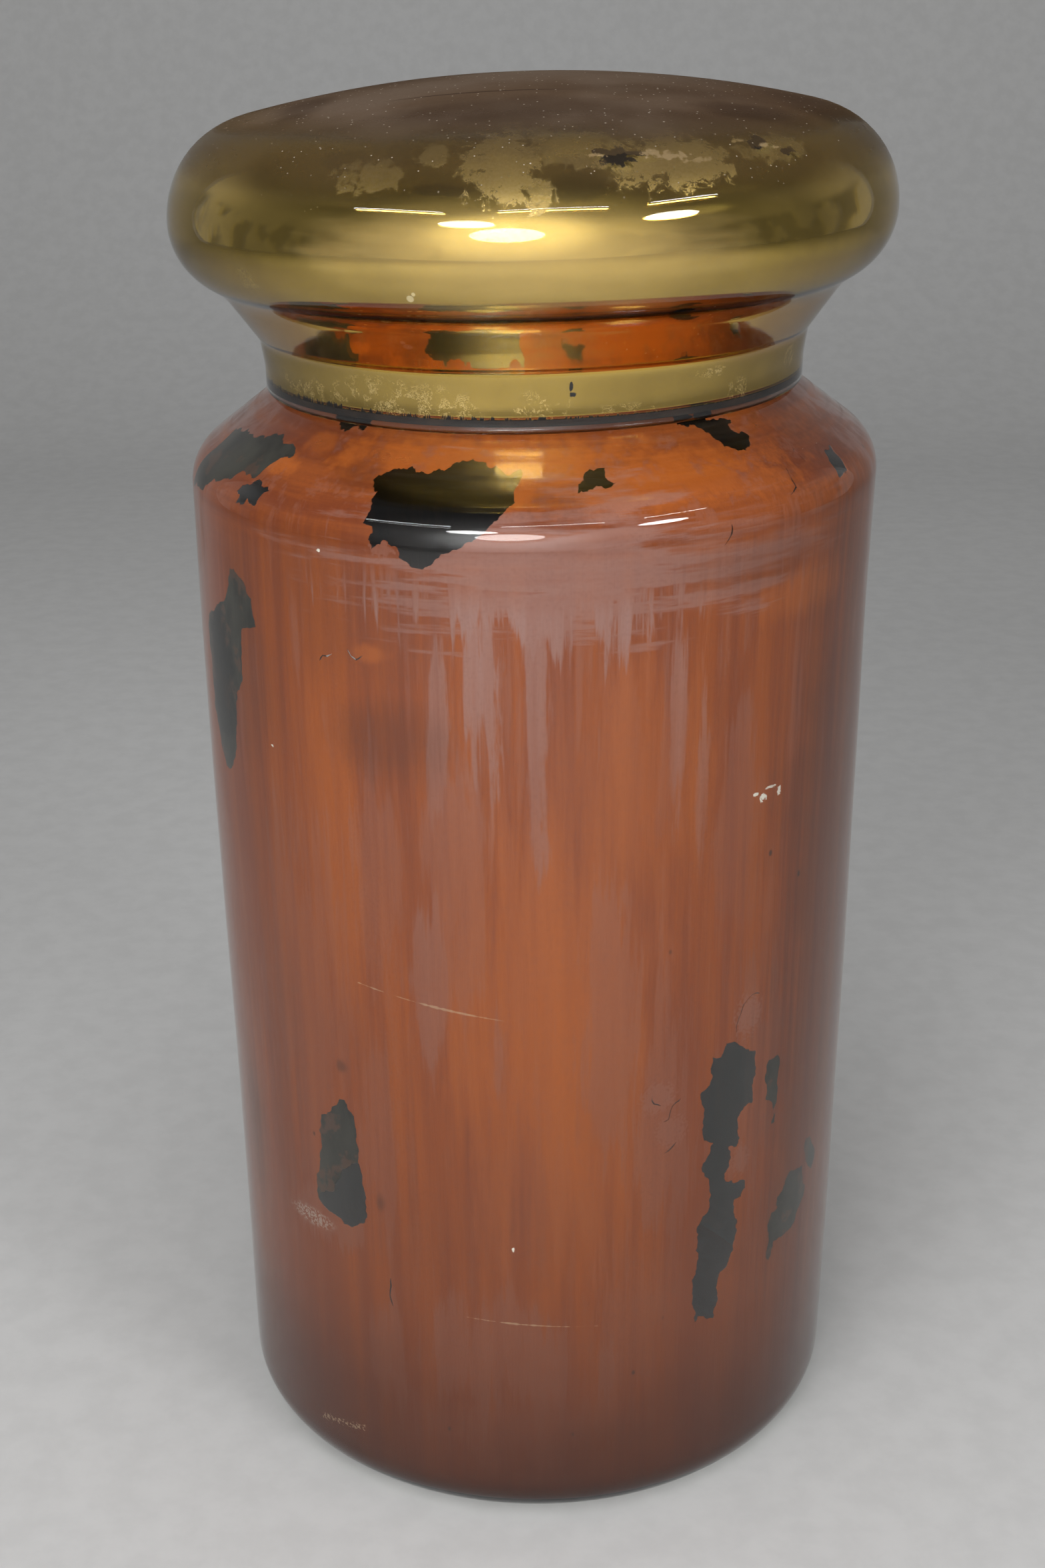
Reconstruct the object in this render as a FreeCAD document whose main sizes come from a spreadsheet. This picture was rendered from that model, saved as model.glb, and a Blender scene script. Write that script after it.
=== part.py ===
import FreeCAD, Part
import math
import os

import Sketcher

# A large covered display jar of blown glass, painted brown on the inside, with a gold-mirrored
# mushroom lid whose skirt drops over the neck and rests on the shoulder.
# The frame has +Z up the axis of the jar and its origin in the plane of the standing ring.

SIZES = {
    # jar glass
    "jar_diameter": 360.0,  # across the shoulder, the widest part
    "base_diameter": 346.0,  # across the heel, before its round
    "shoulder_height": 556.0,  # height of the centre of the shoulder's round
    "shoulder_radius": 25.0,
    "shoulder_slope": 37.0,  # degrees below level, between the shoulder's round and the neck
    "neck_diameter": 260.0,
    "neck_fillet": 10.0,
    "neck_length": 28.4,  # upright part, between its fillet and its lip
    "glass_wall": 5.0,
    "heel_radius": 24.0,
    "base_thickness": 12.0,
    "ring_width": 14.0,  # flat ring that the jar stands on
    "kick_height": 14.0,
    "pontil_diameter": 44.0,  # hollow ground where the glass was broken off the iron
    "pontil_depth": 1.5,
    # paint inside the jar
    "paint_thickness": 0.5,
    "paint_up_neck": 3.0,  # above the fillet, with the rest of the neck left bare
    # lid glass
    "lid_diameter": 369.0,
    "rim_diameter": 279.0,  # outside of the skirt
    "lid_wall": 4.5,
    "skirt_height": 9.5,  # straight part of the skirt
    "flare_radius": 50.0,  # hollow curve from the skirt out to the bulge
    "under_radius": 34.6,  # underside of the bulge
    "crown_edge_radius": 49.0,
    "crown_rise": 64.6,  # top of the crown above the widest line
    "seat_gap": 0.3,  # between the lid's rim and the jar's shoulder
    # coats inside the lid
    "gilding_thickness": 0.3,
    "gilding_margin": 7.0,  # clear rim below the gold
    "backing_thickness": 0.4,
    "backing_margin": 3.5,
}


def size(name):
    return getattr(sheet, name)


def cell(name):
    return f"Sizes.{name}"


def make_sheet():
    made = doc.addObject("Spreadsheet::Sheet", "Sizes")
    for row, (name, value) in enumerate(SIZES.items(), start=1):
        made.set(f"A{row}", name)
        made.set(f"B{row}", str(value))
        made.setAlias(f"B{row}", name)
    doc.recompute()
    return made


class Outline:
    """Edges of one half section: x is the distance from the axis and y the height."""

    START, END, CENTRE = 1, 2, 3
    ORIGIN = (-1, 1)

    def __init__(self, body, name):
        self.sketch = body.newObject("Sketcher::SketchObject", name)
        plane = next(p for p in body.Origin.OriginFeatures if p.Role == "XZ_Plane")
        self.sketch.AttachmentSupport = [(plane, "")]
        self.sketch.MapMode = "FlatFace"

    def line(self, start, end):
        first, last = FreeCAD.Vector(*start, 0), FreeCAD.Vector(*end, 0)
        return self.sketch.addGeometry(Part.LineSegment(first, last), False)

    def arc(self, centre, radius, start, end):
        """Counter-clockwise from angle start to angle end, in degrees."""
        circle = Part.Circle(FreeCAD.Vector(*centre, 0), FreeCAD.Vector(0, 0, 1), radius)
        edge = Part.ArcOfCircle(circle, math.radians(start), math.radians(end))
        return self.sketch.addGeometry(edge, False)

    def join(self, kind, edge, point, other, other_point):
        self.sketch.addConstraint(Sketcher.Constraint(kind, edge, point, other, other_point))

    def tangent(self, edge, point, other, other_point):
        self.join("Tangent", edge, point, other, other_point)

    def coincident(self, edge, point, other, other_point):
        self.join("Coincident", edge, point, other, other_point)

    def flag(self, kind, edge):
        self.sketch.addConstraint(Sketcher.Constraint(kind, edge))

    def bind(self, constraint, formula):
        index = self.sketch.addConstraint(constraint)
        self.sketch.setExpression(f"Constraints[{index}]", formula)

    def radius(self, edge, formula):
        value = self.sketch.Geometry[edge].Radius
        self.bind(Sketcher.Constraint("Radius", edge, value), formula)

    def at_x(self, edge, point, formula):
        value = self.sketch.getPoint(edge, point).x
        self.bind(Sketcher.Constraint("DistanceX", *self.ORIGIN, edge, point, value), formula)

    def at_y(self, edge, point, formula):
        value = self.sketch.getPoint(edge, point).y
        self.bind(Sketcher.Constraint("DistanceY", *self.ORIGIN, edge, point, value), formula)

    def upright(self, line, name):
        """Makes a vertical line, drawn downwards, as long as the named cell says."""
        span = Sketcher.Constraint("DistanceY", line, self.END, line, self.START, size(name))
        self.bind(span, cell(name))

    def on_axis(self, edge, point):
        self.sketch.addConstraint(Sketcher.Constraint("PointOnObject", edge, point, -2))

    def revolved(self, body, name):
        turned = body.newObject("PartDesign::Revolution", name)
        turned.Profile = self.sketch
        turned.ReferenceAxis = (self.sketch, ["V_Axis"])
        turned.Angle = 360.0
        self.sketch.Visibility = False
        return turned


# Formulas shared by the outlines, as the sheet's cells and as the numbers that they give now.

HEEL_X = f"{cell('base_diameter')} / 2 - {cell('heel_radius')}"
KICK_X = f"{HEEL_X} - {cell('ring_width')}"
KICK_RADIUS = f"(({KICK_X})^2 + {cell('kick_height')}^2) / (2 * {cell('kick_height')})"
# The inner heel's round touches the floor's dome, which shares its centre with the kick.
INNER_HEEL_Y = (
    f"{cell('kick_height')} - {KICK_RADIUS} + sqrt(({KICK_RADIUS} + {cell('base_thickness')}"
    f" + {cell('heel_radius')} - {cell('glass_wall')})^2 - ({HEEL_X})^2)"
)
# The rim's round stands on the shoulder's slope, the seat gap away from it.
RIM_CENTRE_Y = (
    f"{cell('shoulder_height')} + ({cell('shoulder_radius')} + {cell('lid_wall')} / 2"
    f" + {cell('seat_gap')} - ({cell('rim_diameter')} / 2 - {cell('lid_wall')} / 2"
    f" - {cell('jar_diameter')} / 2 + {cell('shoulder_radius')}) * sin({cell('shoulder_slope')}))"
    f" / cos({cell('shoulder_slope')})"
)


def heel_x():
    return size("base_diameter") / 2 - size("heel_radius")


def kick_x():
    return heel_x() - size("ring_width")


def kick_radius():
    rise = size("kick_height")
    return (kick_x() ** 2 + rise**2) / (2 * rise)


def inner_heel_y():
    reach = kick_radius() + size("base_thickness") + size("heel_radius") - size("glass_wall")
    return size("kick_height") - kick_radius() + math.sqrt(reach**2 - heel_x() ** 2)


def rim_centre_y():
    slope = math.radians(size("shoulder_slope"))
    inward = (size("rim_diameter") - size("lid_wall") - size("jar_diameter")) / 2
    offset = size("shoulder_radius") + size("lid_wall") / 2 + size("seat_gap")
    lean = (inward + size("shoulder_radius")) * math.sin(slope)
    return size("shoulder_height") + (offset - lean) / math.cos(slope)


def jar_wall(outline, inset_cells, neck_cell, heel_y, heel_end):
    """The jar's side from the neck down to the heel, inset from the outer face.

    Returns the neck's line, drawn as long as neck_cell says, and the heel's arc, which ends at
    the angle heel_end.
    """
    inset = sum(size(name) for name in inset_cells)
    minus = "".join(f" - {cell(name)}" for name in inset_cells)
    plus = minus.replace(" - ", " + ")
    slope = math.radians(size("shoulder_slope"))
    up = (math.sin(slope), math.cos(slope))  # square to the slope, out of the glass
    neck_x = size("neck_diameter") / 2 - inset
    fillet = size("neck_fillet") + inset
    shoulder = size("shoulder_radius") - inset
    heel = size("heel_radius") - inset
    shoulder_centre = (size("jar_diameter") / 2 - size("shoulder_radius"), size("shoulder_height"))
    fillet_x = neck_x + fillet
    lean = (fillet_x - shoulder_centre[0]) * up[0]
    fillet_y = shoulder_centre[1] + (shoulder + fillet - lean) / up[1]
    heel_centre = (heel_x(), heel_y)
    rise, run = shoulder_centre[1] - heel_y, shoulder_centre[0] - heel_centre[0]
    lean_angle = math.degrees(math.asin((heel - shoulder) / math.hypot(run, rise)))
    wall_angle = lean_angle - math.degrees(math.atan2(run, rise))
    wall_out = (math.cos(math.radians(wall_angle)), math.sin(math.radians(wall_angle)))

    def along(centre, direction, distance):
        return (centre[0] + direction[0] * distance, centre[1] + direction[1] * distance)

    neck_line = outline.line((neck_x, fillet_y + size(neck_cell)), (neck_x, fillet_y))
    slope_angle = 90 - size("shoulder_slope")
    neck_arc = outline.arc((fillet_x, fillet_y), fillet, 180, 180 + slope_angle)
    slope_line = outline.line(
        along((fillet_x, fillet_y), up, -fillet), along(shoulder_centre, up, shoulder)
    )
    shoulder_arc = outline.arc(shoulder_centre, shoulder, wall_angle, slope_angle)
    wall_line = outline.line(
        along(shoulder_centre, wall_out, shoulder), along(heel_centre, wall_out, heel)
    )
    heel_arc = outline.arc(heel_centre, heel, heel_end, wall_angle)

    outline.flag("Vertical", neck_line)
    outline.at_x(neck_line, outline.START, f"{cell('neck_diameter')} / 2{minus}")
    outline.tangent(neck_line, outline.END, neck_arc, outline.START)
    outline.radius(neck_arc, f"{cell('neck_fillet')}{plus}")
    outline.tangent(neck_arc, outline.END, slope_line, outline.START)
    outline.bind(Sketcher.Constraint("Angle", slope_line, -slope), f"-{cell('shoulder_slope')}")
    outline.tangent(slope_line, outline.END, shoulder_arc, outline.END)
    outline.radius(shoulder_arc, f"{cell('shoulder_radius')}{minus}")
    outline.at_x(
        shoulder_arc, outline.CENTRE, f"{cell('jar_diameter')} / 2 - {cell('shoulder_radius')}"
    )
    outline.at_y(shoulder_arc, outline.CENTRE, cell("shoulder_height"))
    outline.tangent(shoulder_arc, outline.START, wall_line, outline.START)
    outline.tangent(wall_line, outline.END, heel_arc, outline.END)
    outline.radius(heel_arc, f"{cell('heel_radius')}{minus}")
    outline.at_x(heel_arc, outline.CENTRE, HEEL_X)
    return neck_line, heel_arc


def lid_wall(outline, inset_cells, skirt_start_y):
    """The lid's outline from the skirt up to the crown, inset from the outer face.

    Returns the skirt's line and the crown's arc.
    """
    inset = sum(size(name) for name in inset_cells)
    minus = "".join(f" - {cell(name)}" for name in inset_cells)
    plus = minus.replace(" - ", " + ")
    rim_x, lid_x = size("rim_diameter") / 2, size("lid_diameter") / 2
    flare, under = size("flare_radius"), size("under_radius")
    skirt_top = rim_centre_y() + size("skirt_height")
    turn = math.acos(1 - (lid_x - rim_x) / (flare + under))
    widest_y = skirt_top + (flare + under) * math.sin(turn)
    turn = math.degrees(turn)
    edge, rise = size("crown_edge_radius"), size("crown_rise")
    edge_x = lid_x - edge
    crown = (edge_x**2 + rise**2 - edge**2) / (2 * (rise - edge))
    crown_y = widest_y + rise - crown
    crown_turn = math.degrees(math.atan2(widest_y - crown_y, edge_x))

    skirt_line = outline.line((rim_x - inset, skirt_start_y), (rim_x - inset, skirt_top))
    flare_arc = outline.arc((rim_x + flare, skirt_top), flare + inset, 180 - turn, 180)
    under_arc = outline.arc((lid_x - under, widest_y), under - inset, -turn, 0)
    edge_arc = outline.arc((edge_x, widest_y), edge - inset, 0, crown_turn)
    crown_arc = outline.arc((0, crown_y), crown - inset, crown_turn, 90)

    outline.flag("Vertical", skirt_line)
    outline.at_x(skirt_line, outline.END, f"{cell('rim_diameter')} / 2{minus}")
    outline.at_y(skirt_line, outline.END, f"{RIM_CENTRE_Y} + {cell('skirt_height')}")
    outline.tangent(skirt_line, outline.END, flare_arc, outline.END)
    outline.radius(flare_arc, f"{cell('flare_radius')}{plus}")
    outline.tangent(flare_arc, outline.START, under_arc, outline.START)
    outline.radius(under_arc, f"{cell('under_radius')}{minus}")
    outline.at_x(under_arc, outline.END, f"{cell('lid_diameter')} / 2{minus}")
    outline.join("Horizontal", under_arc, outline.CENTRE, under_arc, outline.END)
    outline.tangent(under_arc, outline.END, edge_arc, outline.START)
    outline.radius(edge_arc, f"{cell('crown_edge_radius')}{minus}")
    outline.tangent(edge_arc, outline.END, crown_arc, outline.START)
    outline.on_axis(crown_arc, outline.CENTRE)
    outline.on_axis(crown_arc, outline.END)
    outline.bind(
        Sketcher.Constraint(
            "DistanceY", under_arc, outline.END, crown_arc, outline.END, rise - inset
        ),
        f"{cell('crown_rise')}{minus}",
    )
    return skirt_line, crown_arc


def end_round(outline, outer_line, inner_line, from_angle):
    """The full round that joins the free ends of an outer and an inner line."""
    outer = outline.sketch.getPoint(outer_line, outline.START)
    inner = outline.sketch.getPoint(inner_line, outline.START)
    middle = ((outer.x + inner.x) / 2, (outer.y + inner.y) / 2)
    end = outline.arc(middle, (outer.x - inner.x) / 2, from_angle, from_angle + 180)
    first, last = (outer_line, inner_line) if from_angle == 0 else (inner_line, outer_line)
    outline.tangent(first, outline.START, end, outline.START)
    outline.tangent(last, outline.START, end, outline.END)


def joined(outline, edge, point, other, other_point):
    """A straight edge between two free ends."""
    first = outline.sketch.getPoint(edge, point)
    last = outline.sketch.getPoint(other, other_point)
    straight = outline.line((first.x, first.y), (last.x, last.y))
    outline.coincident(straight, outline.START, edge, point)
    outline.coincident(straight, outline.END, other, other_point)
    return straight


def make_jar_glass():
    body = doc.addObject("PartDesign::Body", "jar_glass")
    section = Outline(body, "jar_section")
    heel, kick = size("heel_radius"), size("kick_height")
    outer_neck, outer_heel = jar_wall(section, [], "neck_length", heel, -90)
    floor_centre_y = kick - kick_radius()
    floor_turn = math.degrees(math.atan2(inner_heel_y() - floor_centre_y, heel_x()))
    inner_neck, inner_heel = jar_wall(
        section, ["glass_wall"], "neck_length", inner_heel_y(), floor_turn - 180
    )
    section.upright(outer_neck, "neck_length")
    end_round(section, outer_neck, inner_neck, 0)

    ring = section.line((kick_x(), 0), (heel_x(), 0))
    section.flag("Horizontal", ring)
    section.at_x(ring, section.START, KICK_X)
    section.sketch.addConstraint(
        Sketcher.Constraint("PointOnObject", ring, section.START, -1)
    )
    section.tangent(ring, section.END, outer_heel, section.START)

    kick_turn = math.degrees(math.atan2(-floor_centre_y, kick_x()))
    kick_arc = section.arc((0, floor_centre_y), kick_radius(), kick_turn, 90)
    section.coincident(kick_arc, section.START, ring, section.START)
    section.on_axis(kick_arc, section.CENTRE)
    section.on_axis(kick_arc, section.END)
    section.at_y(kick_arc, section.END, cell("kick_height"))

    floor_radius = kick_radius() + size("base_thickness")
    floor = section.arc((0, floor_centre_y), floor_radius, floor_turn, 90)
    section.tangent(floor, section.START, inner_heel, section.START)
    section.coincident(floor, section.CENTRE, kick_arc, section.CENTRE)
    section.on_axis(floor, section.END)
    section.at_y(floor, section.END, f"{cell('kick_height')} + {cell('base_thickness')}")
    joined(section, kick_arc, section.END, floor, section.END)
    section.revolved(body, "blown_jar")
    doc.recompute()

    pontil = Outline(body, "pontil_section")
    half, top = size("pontil_diameter") / 2, kick + size("pontil_depth")
    hollow = (half**2 + size("pontil_depth") ** 2) / (2 * size("pontil_depth"))
    turn = math.degrees(math.acos(half / hollow))
    dish = pontil.arc((0, top - hollow), hollow, turn, 90)
    pontil.on_axis(dish, pontil.CENTRE)
    pontil.on_axis(dish, pontil.END)
    pontil.at_x(dish, pontil.START, f"{cell('pontil_diameter')} / 2")
    pontil.at_y(dish, pontil.START, cell("kick_height"))
    pontil.at_y(dish, pontil.END, f"{cell('kick_height')} + {cell('pontil_depth')}")
    below = pontil.line((half, kick), (half, 0))
    across = pontil.line((half, 0), (0, 0))
    pontil.coincident(below, pontil.START, dish, pontil.START)
    pontil.flag("Vertical", below)
    pontil.coincident(across, pontil.START, below, pontil.END)
    pontil.coincident(across, pontil.END, *pontil.ORIGIN)
    pontil.flag("Horizontal", across)
    joined(pontil, dish, pontil.END, across, pontil.END)
    ground = body.newObject("PartDesign::Groove", "ground_pontil")
    ground.Profile = pontil.sketch
    ground.ReferenceAxis = (pontil.sketch, ["V_Axis"])
    ground.Angle = 360.0
    return body


def make_jar_paint():
    """The coat on the inside of the jar, from the foot of the neck to past the heel's bend."""
    body = doc.addObject("PartDesign::Body", "jar_paint")
    section = Outline(body, "paint_section")
    outer_neck, outer_heel = jar_wall(
        section, ["glass_wall"], "paint_up_neck", inner_heel_y(), -90
    )
    inner_neck, inner_heel = jar_wall(
        section, ["glass_wall", "paint_thickness"], "paint_up_neck", inner_heel_y(), -90
    )
    for neck in (outer_neck, inner_neck):
        section.upright(neck, "paint_up_neck")
    for heel in (outer_heel, inner_heel):
        section.at_y(heel, section.CENTRE, INNER_HEEL_Y)
        section.join("Vertical", heel, section.CENTRE, heel, section.START)
    joined(section, outer_neck, section.START, inner_neck, section.START)
    joined(section, outer_heel, section.START, inner_heel, section.START)
    section.revolved(body, "brushed_paint")
    return body


def make_lid_glass():
    body = doc.addObject("PartDesign::Body", "lid_glass")
    section = Outline(body, "lid_section")
    outer_skirt, outer_crown = lid_wall(section, [], rim_centre_y())
    inner_skirt, inner_crown = lid_wall(section, ["lid_wall"], rim_centre_y())
    section.at_y(outer_skirt, section.START, RIM_CENTRE_Y)
    end_round(section, outer_skirt, inner_skirt, 180)
    joined(section, outer_crown, section.END, inner_crown, section.END)
    section.revolved(body, "blown_lid")
    return body


def make_lid_coat(name, under_cells, thickness_cell, margin_cell):
    """A coat inside the lid, laid over the layers in under_cells, from the margin to the crown."""
    body = doc.addObject("PartDesign::Body", name)
    section = Outline(body, f"{name}_section")
    start_y = rim_centre_y() + size(margin_cell)
    outer_skirt, outer_crown = lid_wall(section, under_cells, start_y)
    inner_skirt, inner_crown = lid_wall(section, [*under_cells, thickness_cell], start_y)
    for skirt in (outer_skirt, inner_skirt):
        section.at_y(skirt, section.START, f"{RIM_CENTRE_Y} + {cell(margin_cell)}")
    joined(section, outer_skirt, section.START, inner_skirt, section.START)
    joined(section, outer_crown, section.END, inner_crown, section.END)
    section.revolved(body, f"{name}_coat")
    return body


def check_document():
    for item in doc.Objects:
        if "Invalid" in item.State or "Error" in item.State:
            raise RuntimeError(f"{item.Name} failed: {item.State}")
        if item.isDerivedFrom("Sketcher::SketchObject") and not item.FullyConstrained:
            raise RuntimeError(f"{item.Name} is not fully constrained")


def write_parts(bodies):
    os.makedirs("parts", exist_ok=True)
    for body in bodies:
        shape = body.Shape
        if shape.isNull() or not shape.isValid() or not shape.Solids:
            raise RuntimeError(f"{body.Label} has no valid solid")
        shape.exportStep(f"parts/{body.Label}.step")
        box = shape.BoundBox
        print(
            f"{body.Label}: {len(shape.Solids)} solid, {shape.Volume / 1000:.1f} cm3,"
            f" z {box.ZMin:.1f} to {box.ZMax:.1f}, across {box.XLength:.1f}"
        )


doc = FreeCAD.newDocument("covered_jar")
sheet = make_sheet()
parts = [
    make_jar_glass(),
    make_jar_paint(),
    make_lid_glass(),
    make_lid_coat("lid_gilding", ["lid_wall"], "gilding_thickness", "gilding_margin"),
    make_lid_coat(
        "lid_backing",
        ["lid_wall", "gilding_thickness"],
        "backing_thickness",
        "backing_margin",
    ),
]
doc.recompute()
check_document()
write_parts(parts)
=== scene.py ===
import math
import random

import bpy
from mathutils import Matrix, Vector, noise


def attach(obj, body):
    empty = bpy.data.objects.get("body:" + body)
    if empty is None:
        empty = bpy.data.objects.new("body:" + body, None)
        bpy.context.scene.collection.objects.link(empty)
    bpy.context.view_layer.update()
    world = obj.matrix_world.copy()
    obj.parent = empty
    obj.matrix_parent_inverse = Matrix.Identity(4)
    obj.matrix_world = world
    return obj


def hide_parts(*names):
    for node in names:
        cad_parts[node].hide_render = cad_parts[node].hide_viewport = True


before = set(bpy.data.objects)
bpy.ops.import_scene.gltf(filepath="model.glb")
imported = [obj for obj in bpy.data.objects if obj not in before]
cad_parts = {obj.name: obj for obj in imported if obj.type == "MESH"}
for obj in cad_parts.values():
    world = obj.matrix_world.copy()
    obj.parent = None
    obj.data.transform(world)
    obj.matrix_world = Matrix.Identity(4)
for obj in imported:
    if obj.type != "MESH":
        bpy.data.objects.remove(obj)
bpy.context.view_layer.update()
MM = 0.001
FULL_TURN = 2 * math.pi

# ---- Sizes of the jar and its lid, in millimetres ----
# They are the solids' own, but for the lid's skirt, crease and hollow, whose short bend the
# solids leave out.

JAR_RADIUS = 180.0
HEEL_X, HEEL_ROUND = 149.0, 24.0
SHOULDER_X, SHOULDER_Z, SHOULDER_ROUND = 155.0, 556.0, 25.0
SLOPE = 37.0
FILLET_X, FILLET_Z, FILLET_ROUND = 140.0, 611.13, 10.0
NECK_TOP = 639.5
KICK_X, KICK_RISE = 135.0, 14.0
PONTIL_X, PONTIL_DEPTH = 22.0, 1.5
RIM_X, RIM_Z = 139.5, 603.87
FOOT_LEAN, SKIRT_LEAN, FLARE_LEAN, UNDER_LEAN = 1.0, 9.0, 36.0, 61.0
SKIRT_X, SKIRT_Z, SKIRT_ROUND = 179.636, 611.302, 40.0
CREASE_X, CREASE_Z, CREASE_ROUND = 149.525, 625.749, 8.0
HOLLOW_X, HOLLOW_Z, HOLLOW_ROUND = 182.170, 629.913, 31.963
UNDER_ROUND, EDGE_ROUND = 34.6, 49.0
LID_RADIUS, WIDEST_Z = 184.5, 688.13
CROWN_TOP = 752.73

# Depths below the outer face of the glass. Each coat starts just inside the glass, as paint does.
PAINT_OUTER, PAINT_GLASS, PAINT_INNER = 5.0, 5.25, 5.5
RESIDUE_OUTER, RESIDUE_INNER = 5.1, 5.4
GOLD_OUTER, GOLD_INNER = 4.5, 4.57
BACKING_OUTER, LID_GLASS, BACKING_INNER = 4.58, 4.65, 5.1


# ---- Outlines, as lists of (distance from the axis, height) in millimetres ----


def arc(centre, radius, start, end, steps):
    """Points round a centre from one angle to another, in degrees."""
    turns = [math.radians(start + (end - start) * i / steps) for i in range(steps + 1)]
    return [(centre[0] + radius * math.cos(t), centre[1] + radius * math.sin(t)) for t in turns]


def run(start, end, steps):
    """Points between two ends, with neither of them."""
    return [tuple(a + (b - a) * i / steps for a, b in zip(start, end)) for i in range(1, steps)]


def jar_side(depth, heel_turn=-90.0, heel_z=HEEL_ROUND, neck_top=NECK_TOP):
    """The jar's side at a depth in the glass, from the heel up to the neck."""
    heel = arc((HEEL_X, heel_z), HEEL_ROUND - depth, heel_turn, -0.6, 8)
    shoulder = arc((SHOULDER_X, SHOULDER_Z), SHOULDER_ROUND - depth, -0.6, 90 - SLOPE, 8)
    fillet = arc((FILLET_X, FILLET_Z), FILLET_ROUND + depth, 270 - SLOPE, 180, 6)
    neck = (FILLET_X - FILLET_ROUND - depth, neck_top)
    return [
        *heel,
        *run(heel[-1], shoulder[0], 48),
        *shoulder,
        *run(shoulder[-1], fillet[0], 4),
        *fillet,
        *run(fillet[-1], neck, 3),
        neck,
    ]


def lid_side(depth, foot):
    """The lid at a depth in the glass, from its skirt's foot up to the crown's middle."""
    edge_x = LID_RADIUS - EDGE_ROUND
    rise = CROWN_TOP - WIDEST_Z
    crown = (edge_x**2 + rise**2 - EDGE_ROUND**2) / (2 * (rise - EDGE_ROUND))
    crown_z = CROWN_TOP - crown
    crown_turn = math.degrees(math.atan2(WIDEST_Z - crown_z, edge_x))
    leans = 180 - FOOT_LEAN, 180 - SKIRT_LEAN, 180 - FLARE_LEAN, 180 - UNDER_LEAN
    skirt = arc((SKIRT_X, SKIRT_Z), SKIRT_ROUND + depth, *leans[:2], 3)
    crease = arc((CREASE_X, CREASE_Z), CREASE_ROUND + depth, *leans[1:3], 5)
    hollow = arc((HOLLOW_X, HOLLOW_Z), HOLLOW_ROUND + depth, *leans[2:], 7)
    under = arc((LID_RADIUS - UNDER_ROUND, WIDEST_Z), UNDER_ROUND - depth, -UNDER_LEAN, 0, 12)
    edge = arc((edge_x, WIDEST_Z), EDGE_ROUND - depth, 0, crown_turn, 14)
    dome = arc((0, crown_z), crown - depth, crown_turn, 90, 18)
    drop = (skirt[0][1] - foot) * math.tan(math.radians(FOOT_LEAN))
    foot_point = (skirt[0][0] - drop, foot)
    below = [foot_point, *run(foot_point, skirt[0], 2), *skirt]
    cone = run(crease[-1], hollow[0], 4)
    above = [*under[1:], *edge[1:], *dome[1:]]
    return [*below, *run(skirt[-1], crease[0], 3), *crease, *cone, *hollow, *above]


# ---- Modelling ----


def lathe(name, outline, steps=160):
    """Turns an outline that starts and ends on the upright axis round it."""
    bpy.ops.object.select_all(action="DESELECT")
    bpy.ops.mesh.primitive_plane_add(size=0.01)
    piece = bpy.context.object
    piece.name = piece.data.name = name
    bpy.ops.object.mode_set(mode="EDIT")
    bpy.ops.mesh.merge(type="CENTER")
    bpy.ops.transform.translate(value=(outline[0][0] * MM, 0, outline[0][1] * MM))
    for here, there in zip(outline, outline[1:]):
        step = ((there[0] - here[0]) * MM, 0, (there[1] - here[1]) * MM)
        bpy.ops.mesh.extrude_vertices_move(TRANSFORM_OT_translate={"value": step})
    bpy.ops.mesh.select_all(action="SELECT")
    bpy.ops.mesh.spin(steps=steps, angle=FULL_TURN, center=(0, 0, 0), axis=(0, 0, 1))
    bpy.ops.mesh.select_all(action="SELECT")
    bpy.ops.mesh.remove_doubles(threshold=1e-6)
    bpy.ops.mesh.normals_make_consistent(inside=False)
    bpy.ops.object.mode_set(mode="OBJECT")
    bpy.ops.object.transform_apply(location=True, rotation=True, scale=True)
    bpy.ops.object.shade_smooth()
    return piece


def ragged(outline, depth, rough, seed):
    """Breaks each side of a closed outline again and again, each time by less."""
    chance = random.Random(seed)
    points = outline
    for _ in range(depth):
        broken = []
        for here, there in zip(points, points[1:] + points[:1]):
            across, up = there[0] - here[0], there[1] - here[1]
            shift = chance.uniform(-rough, rough)
            middle = ((here[0] + there[0]) / 2 - up * shift, (here[1] + there[1]) / 2 + across * shift)
            broken += [here, middle]
        points = broken
    return points


def cutter(outlines, inner=110.0, outer=205.0):
    """Solids that stand out from the axis through outlines of (arc at 180 mm, height)."""
    bpy.ops.object.select_all(action="DESELECT")
    for number, outline in enumerate(outlines):
        if number:
            bpy.ops.object.mode_set(mode="EDIT")
            bpy.ops.mesh.select_all(action="DESELECT")
        bpy.ops.mesh.primitive_circle_add(vertices=len(outline), fill_type="NGON")
        tool = bpy.context.object
        bpy.ops.object.mode_set(mode="OBJECT")
        drawn = [vertex for vertex in tool.data.vertices if vertex.select]
        middle = sum(along for along, _ in outline) / len(outline) / JAR_RADIUS
        for vertex, (along, height) in zip(drawn, outline):
            turn = along / JAR_RADIUS
            reach = inner * MM / math.cos(turn - middle)
            vertex.co = (reach * math.sin(turn), -reach * math.cos(turn), height * MM)
        bpy.ops.object.mode_set(mode="EDIT")
        bpy.ops.mesh.extrude_region_move()
        wider = (outer / inner, outer / inner, 1.0)
        bpy.ops.transform.resize(value=wider, center_override=(0, 0, 0))
        bpy.ops.object.mode_set(mode="OBJECT")
    bpy.ops.object.mode_set(mode="EDIT")
    bpy.ops.mesh.select_all(action="SELECT")
    bpy.ops.mesh.normals_make_consistent(inside=False)
    bpy.ops.object.mode_set(mode="OBJECT")
    return tool


def select_only(piece):
    bpy.ops.object.select_all(action="DESELECT")
    piece.select_set(True)
    bpy.context.view_layer.objects.active = piece


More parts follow.
